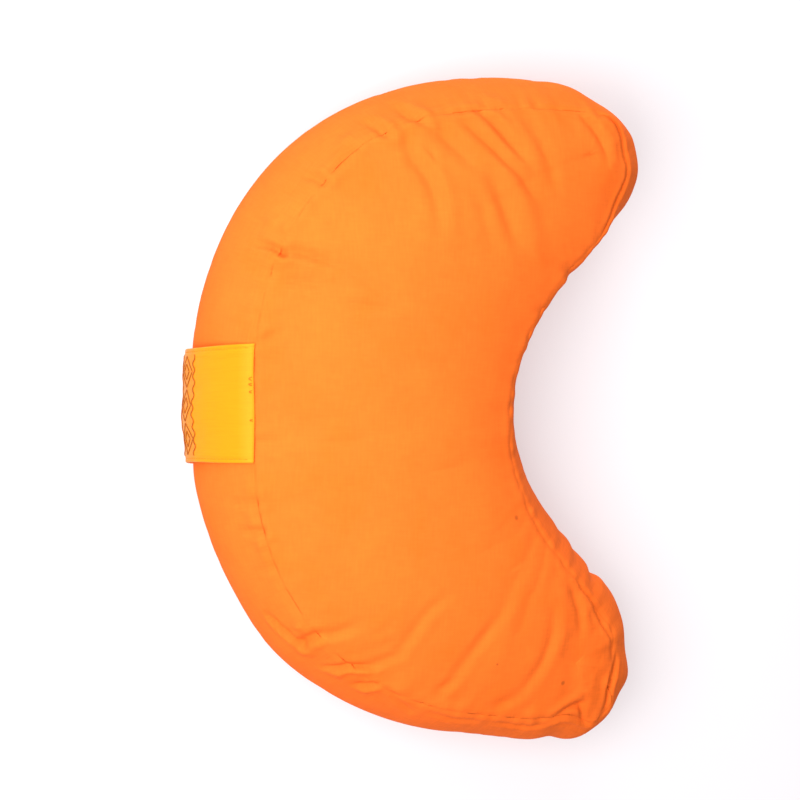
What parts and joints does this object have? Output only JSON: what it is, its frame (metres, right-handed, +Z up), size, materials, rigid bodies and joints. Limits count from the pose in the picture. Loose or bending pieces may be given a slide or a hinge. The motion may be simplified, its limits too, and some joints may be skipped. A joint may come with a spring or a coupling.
{
  "type": "crescent meditation cushion",
  "caption": "Filled half-moon floor cushion with a crowned top, a boxed band that bulges between its seams, blunt horns around a heel bay, and a wide carrying strap over the back wall.",
  "frame": {"origin": "middle of the plan box, on the plane that the cushion rests on", "axes": "+X along the crescent from horn to horn, -Y out of the heel bay, +Y out of the back wall with the strap, +Z up"},
  "size_m": [0.4614, 0.3244, 0.1243],
  "materials": {
    "body_cotton": "matt woven cotton, saturated orange",
    "strap_satin": "smooth yellow cotton satin, edge stitched"
  },
  "bodies": {
    "root": {"cushion": "body_cotton", "strap": "strap_satin"}
  },
  "joints": []
}
